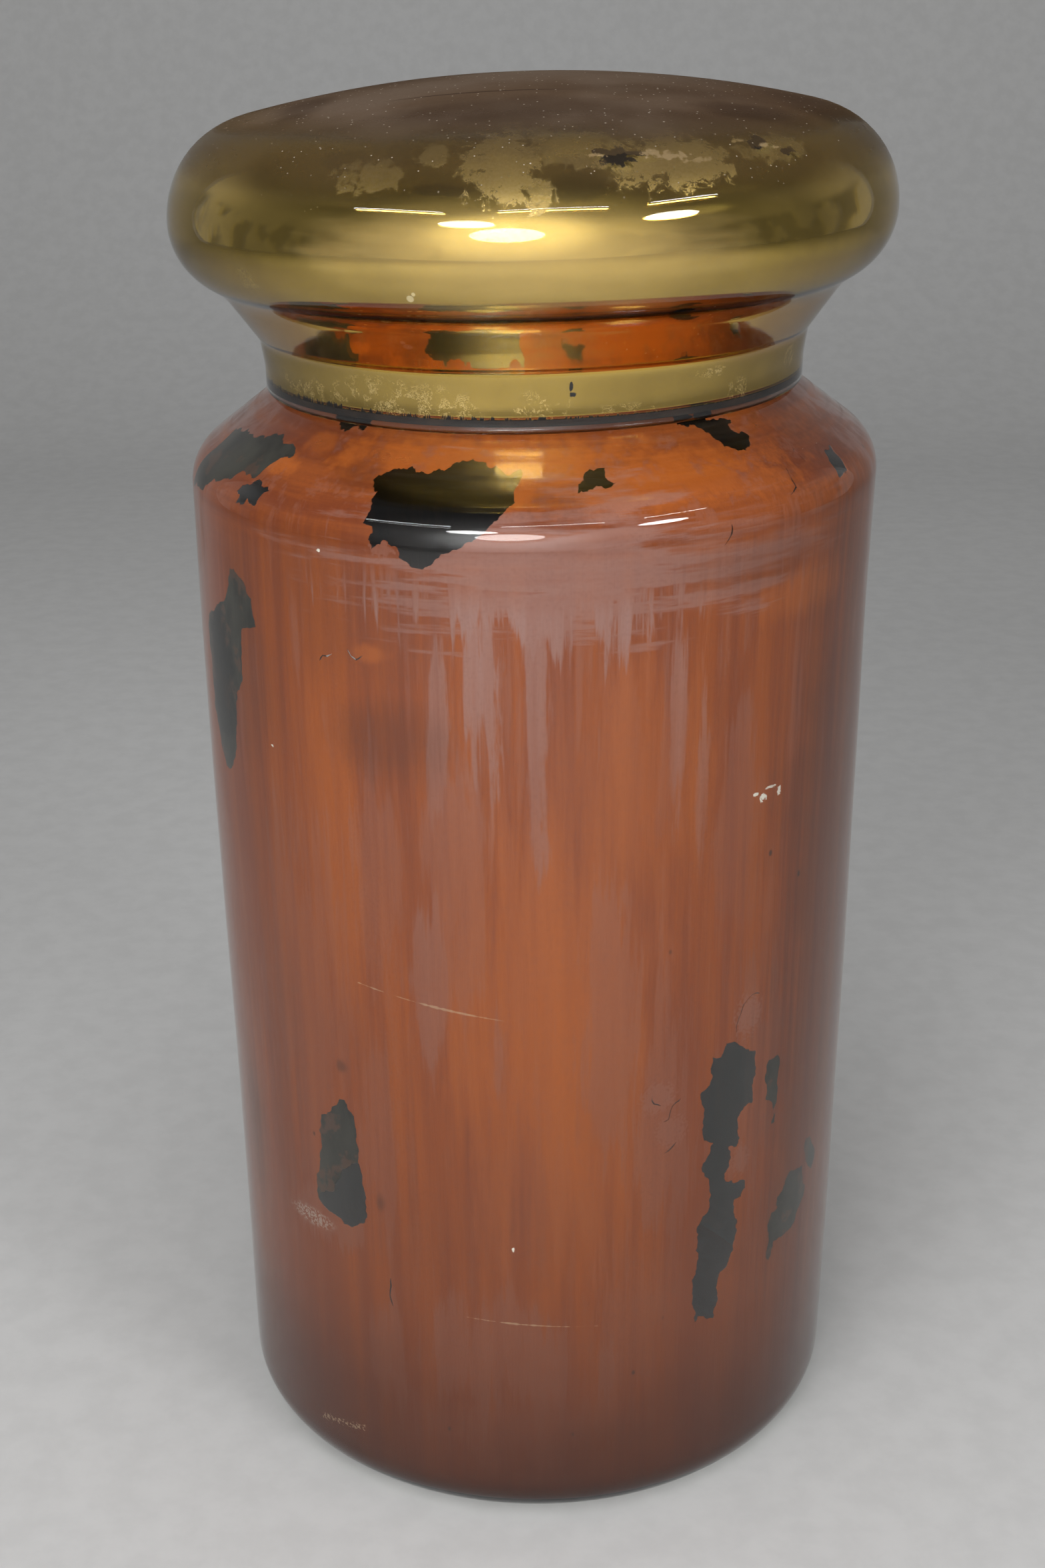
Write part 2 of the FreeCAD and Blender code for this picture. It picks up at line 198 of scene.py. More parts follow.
def carve(piece, tool, operation):
    """Cuts piece by tool, or keeps only what is inside it, and removes the tool."""
    select_only(piece)
    change = piece.modifiers.new("carve", "BOOLEAN")
    change.operation = operation
    change.solver = "MANIFOLD"
    change.object = tool
    bpy.ops.object.modifier_apply(modifier=change.name)
    bpy.data.objects.remove(tool, do_unlink=True)


LEAN = math.radians(0.9)  # the lid and the jar's top sit lower at -X
LEAN_FROM, LEAN_TO = 470 * MM, 600 * MM
BODY_SHIFT = 1.3 * MM  # the body stands to -X of the lid
SLOW_WAVE, QUICK_WAVE, CROWN_WAVE = 2.2, 0.45, 0.5
BLOWN_SEED = 131  # unseeded, the field would be another one each run


def hand_blown(piece):
    """Moves every vertex by one slow field, so that the coats stay against their glass."""
    noise.seed_set(BLOWN_SEED)
    for vertex in piece.data.vertices:
        at = vertex.co.copy()
        slow = noise.noise_vector(at * 3.1 + Vector((7.3, 1.9, 4.4)))
        quick = noise.noise_vector(at * 9.0 + Vector((2.1, 8.2, 0.7)))
        share = min(max((at.z - LEAN_FROM) / (LEAN_TO - LEAN_FROM), 0), 1)
        share = share * share * (3 - 2 * share)
        vertex.co.x += slow.x * SLOW_WAVE * MM + quick.x * QUICK_WAVE * MM
        vertex.co.y += slow.y * SLOW_WAVE * MM + quick.y * QUICK_WAVE * MM
        vertex.co.z += (quick.z * CROWN_WAVE * MM + at.x * math.tan(LEAN)) * share
        vertex.co.x -= BODY_SHIFT * (1 - share)
    piece.data.update()


# ---- Losses in the paint: outlines of (arc at 180 mm from the front, height) in millimetres ----

SHOULDER_LOSS = [
    (-91, 580), (-89, 582), (-83, 584), (-77, 585), (-71, 586), (-68, 584), (-62, 584),
    (-54, 585.5), (-48, 588), (-41, 589), (-37, 590), (-32, 589), (-27, 587), (-20, 586),
    (-9, 586.5), (-8, 584), (-12, 578.5), (-11, 574.5), (-16, 571.5), (-22, 567), (-25, 564),
    (-33, 560), (-41, 555.5), (-48, 552), (-52, 548), (-57, 547), (-62, 549.5), (-66, 551.5),
    (-67, 556), (-70, 556.5), (-74, 559), (-78, 556), (-80, 554.5), (-82, 558.5), (-80, 561.5),
    (-81, 564), (-86, 565), (-84, 570), (-86, 573), (-85, 576), (-89, 577.5),
]
SMALL_SHOULDER_LOSS = [
    (21, 577), (22, 580.5), (25, 581.5), (26, 584), (29, 585.5), (38, 585.5), (37, 582),
    (42, 580), (40, 579), (36, 578), (34, 579), (29, 578), (25, 577.5),
]
RIGHT_RIM_LOSS = [
    (92, 606), (94, 597.5), (99, 596.5), (106, 596.5), (109, 595), (112, 593), (113, 591),
    (116, 589), (116, 587), (121, 586), (124, 584.5), (129, 584), (133, 585), (137, 587),
    (140, 588.5), (136, 591), (131, 591.5), (130, 592.5), (132, 594.5), (136, 595.5),
    (131, 597), (124, 597), (117, 597.5), (118, 599), (124, 601), (124, 606),
]
LEFT_RIM_LOSS = [
    (-148, 606), (-146, 600), (-140, 597), (-136, 595.5), (-131, 595), (-127, 597.5),
    (-124, 598), (-120, 596.5), (-117, 597), (-115, 600), (-115, 606),
]
RIGHT_OVAL_LOSS = [
    (182, 566), (186, 565.5), (194, 566), (196, 571), (199, 576), (193, 575), (187, 575), (183, 572),
]
LEFT_SMALL_LOSS = [
    (-177, 566), (-171, 570), (-166, 572), (-160, 571.5), (-157, 570.5), (-151, 570),
    (-156, 566), (-157, 563), (-161, 563.5), (-165, 565), (-168, 562), (-174, 561.5), (-173, 565),
]
LOW_RIGHT_LOSS = [
    (107, 284), (113, 283), (118, 279), (124, 274), (129, 272.5), (129, 266), (130, 258),
    (128, 250), (128, 241), (122, 240.5), (118, 236), (118.5, 230), (120, 223), (118, 218),
    (112, 220), (114, 212), (110, 204), (111, 199), (118, 195.5), (125, 195), (126, 189),
    (123, 185), (118, 184.5), (118, 177), (121, 171), (121, 163), (119, 152), (115, 144),
    (110, 142), (108, 135), (109, 124), (106, 117), (106, 113), (101, 114), (95, 118),
    (93, 114.5), (93, 122), (91, 132), (90, 143), (93, 150), (92, 162), (92, 175), (96, 182),
    (100, 186), (101, 194), (99.5, 201), (96, 207), (94.5, 215), (99, 220), (101, 226),
    (95, 229), (94, 239), (94, 249), (91, 258), (97, 262), (97, 272), (98, 278), (104, 277),
    (106, 281),
]
LOW_LEFT_LOSS = [
    (-117, 206), (-110, 212), (-103, 215), (-102, 208), (-101, 198), (-99, 188), (-101, 178),
    (-104, 175), (-108, 171), (-113, 169), (-116, 165), (-120, 163.5), (-124, 163), (-124, 157),
    (-128, 156.5), (-129, 160), (-127, 167), (-129, 171), (-134, 173), (-139, 176), (-136, 184),
    (-130, 188), (-124, 190), (-121, 198),
]
LOW_LEFT_THIN = [
    (-112, 250), (-116, 249), (-118, 245), (-122, 242), (-126, 237), (-130, 235.5), (-131, 232),
    (-133, 225), (-132, 219), (-134, 209), (-136, 197), (-138, 186), (-137, 179), (-128, 175),
    (-118, 171), (-108, 174), (-103, 177), (-101, 188), (-102, 198), (-103, 208), (-104.5, 218),
    (-105, 232), (-106, 242), (-108, 244), (-110, 245),
]
TALL_LEFT_THIN = [
    (-177, 528), (-172, 525), (-167, 523), (-165, 518), (-161, 516), (-160, 507), (-158, 502),
    (-163, 500), (-172, 497), (-173, 487), (-174, 477), (-174, 471), (-177, 466), (-182, 461),
    (-184, 452), (-186, 440), (-187, 429), (-191, 422), (-194, 417), (-200, 413), (-205, 413),
    (-208, 419), (-212, 428), (-216, 435), (-219, 452), (-220, 472), (-219, 492), (-214, 496),
    (-205, 500), (-198, 505), (-190, 509), (-186, 515), (-184, 522), (-182, 527),
]
LEFT_SHOULDER_THIN = [
    (-245, 555), (-225, 558), (-212, 563), (-202, 566), (-195, 568.5), (-188, 569.5),
    (-184, 573), (-176, 573), (-170, 572), (-168, 574), (-166, 579), (-160, 582), (-155, 583),
    (-158, 585.5), (-164, 587), (-169, 586.5), (-177, 587), (-180, 589), (-186, 588),
    (-193, 586.5), (-196, 585), (-205, 584), (-215, 584), (-225, 585), (-245, 583),
]
RIGHT_THIN = [
    (138, 260), (140, 263), (148, 263), (149, 250), (149, 238), (148, 222), (145, 222),
    (145, 235), (139, 239), (138, 250),
]
FAR_RIGHT_THIN = [
    (150, 132), (154, 143), (165, 142), (176, 144), (182, 152), (188, 162), (184, 170),
    (182, 179), (175, 180), (168, 182), (163, 179), (160, 173), (155, 171), (156, 164),
    (150, 163), (147, 156), (149, 144), (148, 134),
]
OUTER_RIGHT_THIN = [
    (184, 194), (190, 194), (197, 184), (200, 174), (196, 169), (190, 175), (186, 181), (183, 188),
]
# Narrow cracks: a path and its width.
CRACKS = [
    ([(138, 566), (144, 568), (145, 573), (146, 575)], 1.0),
    ([(93, 551), (97, 556), (97, 560)], 0.9),
    ([(162, 579), (165, 580)], 1.2),
    ([(62, 264), (63, 259), (67, 257)], 0.7),
    ([(69, 247), (72, 248), (73, 253), (76, 257), (79, 259)], 0.9),
    ([(70, 228), (74, 230), (77, 233)], 1.3),
    ([(114, 288), (115, 296), (118, 303), (124, 307), (130, 306)], 0.7),
    ([(-87, 147), (-87, 142), (-88, 135), (-86, 129)], 1.1),
    ([(-112, 494), (-110, 497), (-104, 499)], 0.8),
    ([(-95, 503), (-90, 498), (-86, 501)], 0.8),
]


def slit(path, width, seed):
    """A pointed sliver along a path, which wanders a little."""
    chance = random.Random(seed)
    steps = []
    for here, there in zip(path, path[1:]):
        shift = chance.uniform(-0.16, 0.16)
        across, up = there[0] - here[0], there[1] - here[1]
        middle = ((here[0] + there[0]) / 2 - up * shift, (here[1] + there[1]) / 2 + across * shift)
        steps += [here, middle]
    steps.append(path[-1])
    left, right = [], []
    for i, (along, height) in enumerate(steps):
        before, after = steps[max(i - 1, 0)], steps[min(i + 1, len(steps) - 1)]
        away = math.hypot(after[0] - before[0], after[1] - before[1])
        across = (before[1] - after[1]) / away, (after[0] - before[0]) / away
        half = width / 2 * (0.2 if i in (0, len(steps) - 1) else chance.uniform(0.6, 1.2))
        left.append((along + across[0] * half, height + across[1] * half))
        right.append((along - across[0] * half, height - across[1] * half))
    return left + right[::-1]


BARE = [
    SHOULDER_LOSS, SMALL_SHOULDER_LOSS, RIGHT_RIM_LOSS, LEFT_RIM_LOSS, RIGHT_OVAL_LOSS,
    LEFT_SMALL_LOSS, LOW_RIGHT_LOSS,
]
THIN = [
    LOW_LEFT_THIN, TALL_LEFT_THIN, LEFT_SHOULDER_THIN, RIGHT_THIN, FAR_RIGHT_THIN, OUTER_RIGHT_THIN,
]


def moved(outline, along, up, turn=1):
    """An outline's like elsewhere on the jar, mirrored where turn is -1."""
    middle = sum(a for a, _ in outline) / len(outline)
    return [((a - middle) * turn + along, height + up) for a, height in outline]


BARE += [
    moved(LOW_RIGHT_LOSS, -430, 170, -1),
    moved(SMALL_SHOULDER_LOSS, 380, -2, -1),
    moved(LEFT_SMALL_LOSS, -330, -120),
    moved(LEFT_SMALL_LOSS, 470, -330, -1),
]
THIN += [
    moved(TALL_LEFT_THIN, 520, -20, -1),
    moved(LOW_LEFT_THIN, 330, 210),
    moved(FAR_RIGHT_THIN, -520, 10),
    moved(LEFT_SHOULDER_THIN, 450, 0, -1),
]
bare = [ragged(o, 3 if len(o) > 15 else 2, 0.18, 10 + i) for i, o in enumerate(BARE)]
cracks = [slit(path, width, 40 + i) for i, (path, width) in enumerate(CRACKS)]
thin = [ragged(o, 3, 0.16, 60 + i) for i, o in enumerate(THIN)]
bare_in_thin = [ragged(LOW_LEFT_LOSS, 3, 0.16, 80)]

# ---- The jar ----

INNER_HEEL_Z = 28.7
kick_round = (KICK_X**2 + KICK_RISE**2) / (2 * KICK_RISE)
kick_z = KICK_RISE - kick_round
floor_turn = math.degrees(math.atan2(INNER_HEEL_Z - kick_z, HEEL_X))


def inside(depth, neck_top):
    """The jar's inner face or a face near it, from the middle of the floor to the neck."""
    dome = math.hypot(HEEL_X, INNER_HEEL_Z - kick_z) - HEEL_ROUND + depth
    floor = arc((0, kick_z), dome, 90, floor_turn, 16)
    return floor + jar_side(depth, floor_turn - 180, INNER_HEEL_Z, neck_top)[1:]


def coat(name, outer, inner):
    top = FILLET_Z + 3
    return lathe(name, inside(outer, top) + inside(inner, top)[::-1])


paint = coat("brown_paint", PAINT_OUTER, PAINT_INNER)
for outlines in (bare, cracks, thin):
    carve(paint, cutter(outlines), "DIFFERENCE")
residue = coat("thin_residue", RESIDUE_OUTER, RESIDUE_INNER)
carve(residue, cutter(thin), "INTERSECT")
carve(residue, cutter(bare_in_thin), "DIFFERENCE")
for piece in (paint, residue):
    select_only(piece)
    bpy.ops.object.shade_smooth_by_angle(angle=math.radians(35))

kick_turn = math.degrees(math.atan2(-kick_z, KICK_X))
pontil_round = (PONTIL_X**2 + PONTIL_DEPTH**2) / (2 * PONTIL_DEPTH)
pontil_z = KICK_RISE + PONTIL_DEPTH - pontil_round
pontil_turn = math.degrees(math.acos(PONTIL_X / pontil_round))
kick_dome = [p for p in arc((0, kick_z), kick_round, 90, kick_turn, 24) if p[0] > PONTIL_X + 1]
jar_outline = [
    *arc((0, pontil_z), pontil_round, 90, pontil_turn, 4),
    *kick_dome,
    *run((KICK_X, 0), (HEEL_X, 0), 3),
    *jar_side(0.0),
    *arc((FILLET_X - FILLET_ROUND - PAINT_GLASS / 2, NECK_TOP), PAINT_GLASS / 2, 0, 180, 8)[1:-1],
    *inside(PAINT_GLASS, NECK_TOP)[::-1],
]
jar_glass = lathe("blown_jar", jar_outline)

# ---- The lid ----

lid_outline = [
    *lid_side(0.0, RIM_Z)[::-1],
    *arc((RIM_X - LID_GLASS / 2, RIM_Z), LID_GLASS / 2, 0, -180, 8)[1:-1],
    *lid_side(LID_GLASS, RIM_Z),
]
lid_glass = lathe("blown_lid", lid_outline)
gold = lathe("gold_mirror", lid_side(GOLD_OUTER, 607.9)[::-1] + lid_side(GOLD_INNER, 607.9))
backing = lathe("dark_backing", lid_side(BACKING_OUTER, 604.9)[::-1] + lid_side(BACKING_INNER, 604.9))


def over_crown(depth):
    """The bulging edge and the crown, from above the flare to the middle."""
    return [point for point in lid_side(depth, RIM_Z) if point[1] > 656.0]


dust_and_glow_film = lathe("crown_dust_and_glow", over_crown(-0.08)[::-1] + over_crown(-0.03))

for piece in (paint, residue, jar_glass, lid_glass, gold, backing, dust_and_glow_film):
    hand_blown(piece)

# ---- Shader maths ----


class Value:
    """A socket of a shader graph, with arithmetic that adds its Math nodes."""

    def __init__(self, graph, socket):
        self.graph, self.socket = graph, socket

    def math(self, operation, *others):
        return self.graph.node("ShaderNodeMath", {"operation": operation}, (self, *others))

    def __add__(self, other):
        return self.math("ADD", other)

    def __sub__(self, other):
        return self.math("SUBTRACT", other)

    def __mul__(self, other):
        return self.math("MULTIPLY", other)

    def __rsub__(self, other):
        return self.graph.node("ShaderNodeMath", {"operation": "SUBTRACT"}, (other, self))

    __radd__, __rmul__ = __add__, __mul__

    def most(self, other):
        return self.math("MAXIMUM", other)

    def least(self, other):
        return self.math("MINIMUM", other)

    def rise(self, low, high):
        """0 at low, 1 at high, and smooth between. low may be above high."""
        settings = {"interpolation_type": "SMOOTHSTEP"}
        return self.graph.node("ShaderNodeMapRange", settings, (self, low, high, 0.0, 1.0))

    def output(self, name):
        """Another output of the node that this came from."""
        return Value(self.graph, self.socket.node.outputs[name])


class Graph:
    """The nodes of a new material, or of the world."""

    def __init__(self, name, kind=bpy.data.materials, place="Object"):
        self.owner = kind.new(name)
        self.owner.use_nodes = True
        self.tree = self.owner.node_tree
        self.tree.nodes.clear()
        self.place = self.node("ShaderNodeTexCoord", out=place)
        self.across = self.node("ShaderNodeSeparateXYZ", inputs=(self.place,))
        self.depth, self.upward = self.across.output("Y"), self.across.output("Z")
        # Millimetres round the jar from the front, as on the wall, and above the floor.
        self.arc = self.across.math("ARCTAN2", self.depth * -1.0) * JAR_RADIUS
        self.height = self.upward * 1000.0
        self.sheet = self.node("ShaderNodeCombineXYZ", inputs=(self.arc, self.height, 0.0))
        # Millimetres across and back from the axis, as on a plan.
        self.plan = self.vector("MULTIPLY", self.place, (1000.0, 1000.0, 0.0))

    def node(self, kind, settings=None, inputs=(), out=0):
        """Adds a node: its settings, then its inputs by order or by name. Gives one output."""
        made = self.tree.nodes.new(kind)
        for key, value in (settings or {}).items():
            setattr(made, key, value)
        pairs = inputs.items() if isinstance(inputs, dict) else enumerate(inputs)
        for key, value in pairs:
            if isinstance(value, Value):
                self.tree.links.new(value.socket, made.inputs[key])
            else:
                made.inputs[key].default_value = value
        return Value(self, made.outputs[out]) if made.outputs else made

    def vector(self, operation, *values, out=0):
        return self.node("ShaderNodeVectorMath", {"operation": operation}, values, out)

    def stretched(self, around, upright, shift=0.0):
        """Object coordinates scaled round the jar and upright."""
        turned = {"Vector": self.place, "Location": (shift, shift * 0.7, shift * 1.3)}
        return self.node("ShaderNodeMapping", inputs={**turned, "Scale": (around, around, upright)})

    def noise(self, where, scale=1.0, detail=4.0, roughness=0.55, distortion=0.0):
        sockets = {"Vector": where, "Scale": scale, "Detail": detail}
        sockets |= {"Roughness": roughness, "Distortion": distortion}
        return self.node("ShaderNodeTexNoise", inputs=sockets, out="Fac")

    def specks(self, where, scale, size, share):
        """Dots in some of the cells of a scattered grid."""
        cell = self.node("ShaderNodeTexVoronoi", inputs={"Vector": where, "Scale": scale})
        chance = self.node("ShaderNodeSeparateColor", inputs=(cell.output("Color"),))
        return cell.rise(size, size * 0.5) * chance.rise(1.0 - share, 1.0 - share * 0.7)

    def mix(self, factor, first, second):
        """A colour between two."""
        sockets = {0: factor, 6: first, 7: second}
        return self.node("ShaderNodeMix", {"data_type": "RGBA"}, sockets, out=2)

    def patch(self, arc, height, half_arc, half_height, edge, soft=0.25, sheet=None):
        """1 inside an oval on the glass, whose distance is pushed about by edge."""
        away = self.vector("SUBTRACT", sheet or self.sheet, (arc, height, 0.0))
        away = self.vector("MULTIPLY", away, (1 / half_arc, 1 / half_height, 0.0))
        away = self.vector("LENGTH", away, out="Value")
        return (away + edge).rise(1.0 + soft, 1.0 - soft)

    def patches(self, places, edge, soft=0.25, sheet=None):
        """The most of several patches, each with its strength last."""
        total = None
        for *oval, strength in places:
            one = self.patch(*oval, edge, soft, sheet) * strength
            total = total.most(one) if total else one
        return total

    def scratch(self, start, end, width, edge):
        """1 on a line between two places on the glass."""
        along = (end[0] - start[0], end[1] - start[1], 0.0)
        length = math.hypot(*along)
        from_start = self.vector("SUBTRACT", self.sheet, (*start, 0.0))
        per_length = tuple(a / length**2 for a in along)
        share = self.vector("DOT_PRODUCT", from_start, per_length, out="Value")
        share = share.most(0.0).least(1.0)
        share = self.node("ShaderNodeCombineXYZ", inputs=(share, share, 0.0))
        on_line = self.vector("MULTIPLY", along, share)
        away = self.vector("DISTANCE", from_start, on_line, out="Value")
        return (away + edge * width).rise(width, width * 0.3)

    def shade(self, **values):
        """The Principled shader with these sockets, named with _ for each space."""
        named = {key.replace("_", " "): value for key, value in values.items()}
        return self.node("ShaderNodeBsdfPrincipled", inputs=named)

    def bump(self, height, distance):
        return self.node("ShaderNodeBump", inputs={"Height": height, "Distance": distance})

    def finish(self, surface, output="ShaderNodeOutputMaterial"):
        self.node(output, inputs={"Surface": surface})
        return self.owner


def srgb(red, green, blue):
    """A colour from its 0 to 255 values."""
    values = []
    for value in (red, green, blue):
        value /= 255
        values.append(value / 12.92 if value <= 0.04045 else ((value + 0.055) / 1.055) ** 2.4)
    return (*values, 1.0)


# ---- Materials ----


def clear_glass(name, dust):
    """Glass that lets light straight through to the coats, and is seen with its dust."""
    g = Graph(name)
    glass = g.shade(
        Base_Color=(0.97, 0.985, 0.965, 1.0),
        Roughness=dust(g),
        IOR=1.5,
        Specular_IOR_Level=0.4,
        Transmission_Weight=1.0,
    )
    path = g.node("ShaderNodeLightPath", out="Is Shadow Ray")
    clear = g.node("ShaderNodeBsdfTransparent", inputs=((0.95, 0.97, 0.95, 1.0),))
    through = path.most(path.output("Is Diffuse Ray"))
    return g.finish(g.node("ShaderNodeMixShader", inputs=(through, glass, clear)))


def jar_dust(g):
    smear = g.noise(g.stretched(7.0, 3.0), 1.0, 5.0, 0.7)
    specks = g.specks(g.place, 130.0, 0.16, 0.2)
    rubbed = g.noise(g.stretched(6.0, 210.0), 1.0, 4.0, 0.6).rise(0.35, 0.65)
    rubbed = rubbed * g.height.rise(570.0, 584.0)
    return smear.rise(0.5, 0.75) * 0.09 + specks * 0.14 + rubbed * 0.24


def lid_dust(g):
    turned_over = g.height.rise(706.0, 732.0)
    return g.specks(g.place, 210.0, 0.18, 0.25) * 0.2 + turned_over * 0.22 + 0.01


# Ovals on the paint: (arc, height, half width, half height, strength), in millimetres.
HAZE = [
    (2, 541, 66, 27, 1.0), (-48, 484, 6, 48, 0.7), (-24, 492, 10, 46, 0.85),
    (0, 478, 6, 62, 0.8), (70, 466, 6, 52, 0.7), (86, 440, 3, 44, 0.5), (-59, 330, 7, 36, 0.85),
    (-20, 290, 4, 27, 0.6), (36, 318, 15, 64, 0.55), (70, 240, 17, 56, 0.6),
    (124, 256, 22, 66, 0.5), (-95, 222, 12, 58, 0.45), (-20, 110, 44, 33, 0.75),
    (-93, 95, 11, 32, 0.65), (100, 112, 42, 62, 0.25), (-130, 170, 32, 14, 0.7),
    (-140, 300, 30, 90, 0.35), (20, 400, 40, 90, 0.12), (-40, 400, 14, 60, 0.4),
    (60, 130, 30, 40, 0.4),
    (-84, 380, 12, 50, 0.35), (110, 400, 12, 60, 0.3), (-10, 200, 30, 40, 0.15), (0, 62, 60, 18, 0.4),
]
# Darker smudges and stains; the tall bands down the sides, about 170 to 206 mm round from the front,
# are painted shade.
STAINS_AND_SIDE_SHADE = [
    (-74, 458, 25, 17, 0.55), (-172, 492, 22, 60, 0.5), (-206, 205, 14, 46, 0.8),
    (-92, 193, 3, 5, 0.9), (-114, 270, 3, 3, 0.9), (-100, 579, 14, 6, 0.4), (8, 574, 22, 8, 0.35),
    (196, 330, 48, 270, 0.85), (-190, 60, 60, 40, 0.5), (130, 540, 50, 10, 0.4),
    (-100, 528, 60, 34, 0.3), (-170, 300, 24, 120, 0.3), (170, 470, 26, 90, 0.4),
]
# Orange patches in the paint; the wide bands across the front shoulder are partly a painted glow
# thrown down by the gold lid.
ORANGE_AND_PAINTED_GLOW = [
    (-158, 578, 11, 4, 1.0), (-82, 502, 8, 4, 0.6), (-140, 588, 12, 4, 0.5), (60, 580, 80, 9, 0.8),
    (-20, 588, 90, 9, 0.8), (150, 520, 26, 12, 0.6), (120, 575, 30, 5, 0.6), (60, 440, 24, 60, 0.4),
    (10, 290, 44, 110, 0.45), (-110, 400, 16, 80, 0.3),
]
PINK_FLAKES = [
    (-74, 554, 8, 4.5, 1.0), (121, 297, 9, 11, 1.0), (121, 208, 7, 9, 0.9), (108, 228, 5, 5, 0.7),
    (66, 262, 9, 7, 0.7), (74, 240, 8, 8, 0.6), (40, 578, 12, 8, 0.4), (128, 596, 8, 5, 0.5),
]
WHITE_CHIPS = [
    (126, 417, 2.2, 2.0, 1.0), (121, 420, 2.0, 0.9, 1.0), (132, 421.5, 4.0, 0.7, 0.8),
    (138, 418, 1.2, 2.2, 0.9), (-151, 441, 0.9, 0.8, 1.0), (-15, 177, 0.7, 1.1, 1.0),
    (-110, 549, 1.1, 0.9, 1.0),
]


def brushed_paint():
    g = Graph("brushed_brown_paint")
    brush = g.noise(g.stretched(90.0, 3.0), 1.0, 6.0, 0.66)
    hair = g.noise(g.stretched(300.0, 6.0, 2.0), 1.0, 3.0, 0.6)
    broad = g.noise(g.stretched(14.0, 1.6, 3.0), 1.0, 4.0, 0.5)
    round_brush = g.noise(g.stretched(5.0, 130.0, 1.0), 1.0, 5.0, 0.6)
    patchy = g.noise(g.place, 11.0, 4.0, 0.6)
    grain = g.noise(g.place, 650.0, 2.0, 0.6)
    drip = g.noise(g.stretched(85.0, 8.0, 5.0), 1.0, 5.0, 0.65, 0.3)
    on_shoulder = (g.height + patchy * 60.0).rise(560.0, 615.0)

    # Brushed colour, upright on the wall and round on the shoulder.
    color = g.mix(brush.rise(0.36, 0.68), srgb(137, 67, 34), srgb(160, 80, 29))
    color = g.mix(broad.rise(0.46, 0.66) * 0.5, color, srgb(122, 57, 33))
    color = g.mix(hair.rise(0.5, 0.75) * 0.3, color, srgb(148, 82, 50))
    shoulder = g.mix(round_brush.rise(0.36, 0.66), srgb(126, 60, 30), srgb(164, 84, 34))
    color = g.mix(on_shoulder, color, shoulder)
    # Orange patches, with a painted glow on the front shoulder.
    color = g.mix(g.patches(ORANGE_AND_PAINTED_GLOW, (drip - 0.5) * 3.0, 0.5) * 0.8, color, srgb(196, 104, 40))

    # Pink-grey haze in upright runs, and wiped slantwise below the shoulder. The haze turns paler
    # towards the shoulder, partly its own tone and partly a painted sheen.
    ragged_edge = (drip - 0.5) * 4.5 + (hair - 0.5) * 2.2 + (patchy - 0.5) * 1.5
    veil = g.patches(HAZE, ragged_edge, 0.3)
    behind = g.arc.math("ABSOLUTE").rise(170.0, 260.0)
    veil = veil * g.height.rise(556.0, 520.0)
    veil = veil.most((drip + hair * 0.25).rise(0.66, 0.78) * 0.2)
    veil = veil.most((patchy + drip * 0.6).rise(0.80, 0.92) * behind)
    veil = veil * (0.15 + brush * 0.9 + hair * 0.55)
    turned = {"Vector": g.sheet, "Rotation": (0, 0, math.radians(-24)), "Scale": (0.014, 0.17, 1)}
    slant = g.noise(g.node("ShaderNodeMapping", inputs=turned), 1.0, 5.0, 0.6)
    wiped = g.patch(10, 545, 86, 28, (slant - 0.5) * 4.5 + (patchy - 0.5) * 2.0, 0.35)
    wiped = wiped.most(g.patch(88, 546, 56, 18, (slant - 0.5) * 6.0, 0.6) * 0.6)
    veil = veil.most(wiped * (0.05 + slant * 0.85 + patchy * 0.35)).least(1.0)
    # Paler towards the shoulder: partly a painted sheen.
    veil_and_sheen_color = g.mix(g.height.rise(330.0, 560.0), srgb(148, 92, 73), srgb(164, 124, 116))
    color = g.mix(veil * 0.95, color, veil_and_sheen_color)

    # Flakes, stains with painted shade down the sides, darker towards the foot, and specks.
    flake = g.patches(PINK_FLAKES, (patchy + grain - 1.0) * 2.4, 0.1)
    color = g.mix(flake * 0.6, color, srgb(152, 100, 84))
    # Darker stains, and painted shade down the sides.
    stain_and_side_shade = g.patches(STAINS_AND_SIDE_SHADE, (patchy - 0.5) * 2.0 + (hair - 0.5) * 1.5, 0.7)
    color = g.mix(stain_and_side_shade * 0.6, color, srgb(58, 38, 32))
    color = g.mix((g.height + patchy * 90.0).rise(420.0, 60.0) * 0.5, color, srgb(98, 50, 24))
    foot = (g.height - patchy * 70.0).rise(110.0, -30.0)
    color = g.mix(foot * 0.8, color, srgb(56, 25, 12))
    speckled = g.patch(-144, 166, 15, 5, (patchy - 0.5) * 2.0, 0.4) * grain.rise(0.48, 0.56)
    color = g.mix(speckled * 0.7, color, srgb(176, 158, 146))
    color = g.mix(grain.rise(0.45, 0.75) * 0.14, color, srgb(92, 48, 33))
    color = g.mix(g.specks(g.place, 90.0, 0.035, 0.05) * 0.2, color, srgb(186, 160, 140))
    dark_specks = g.specks(g.stretched(60.0, 40.0, 2.0), 1.0, 0.1, 0.14)
    color = g.mix(dark_specks * 0.9, color, srgb(62, 40, 32))

    # Scratches and chips.
    broken = (drip - 0.45) * 6.0
    lines = g.scratch((-100, 323), (-18, 313), 0.6, broken).most(
        g.scratch((-42, 132), (32, 127), 0.6, broken)
    )
    lines = lines.most(g.scratch((-146, 32), (-112, 39), 1.6, (grain - 0.45) * 9.0))
    color = g.mix(lines * 0.35, color, srgb(214, 186, 150))
    color = g.mix(0.14, color, srgb(66, 22, 2))
    color = g.mix(g.patches(WHITE_CHIPS, (grain - 0.5) * 2.6, 0.2), color, srgb(226, 218, 206))
    surface = g.shade(
        Base_Color=color,
        Roughness=0.75 - veil * 0.2,
        Specular_IOR_Level=0.15,
        Normal=g.bump(brush + drip, 0.0004),
    )
    return g.finish(surface)


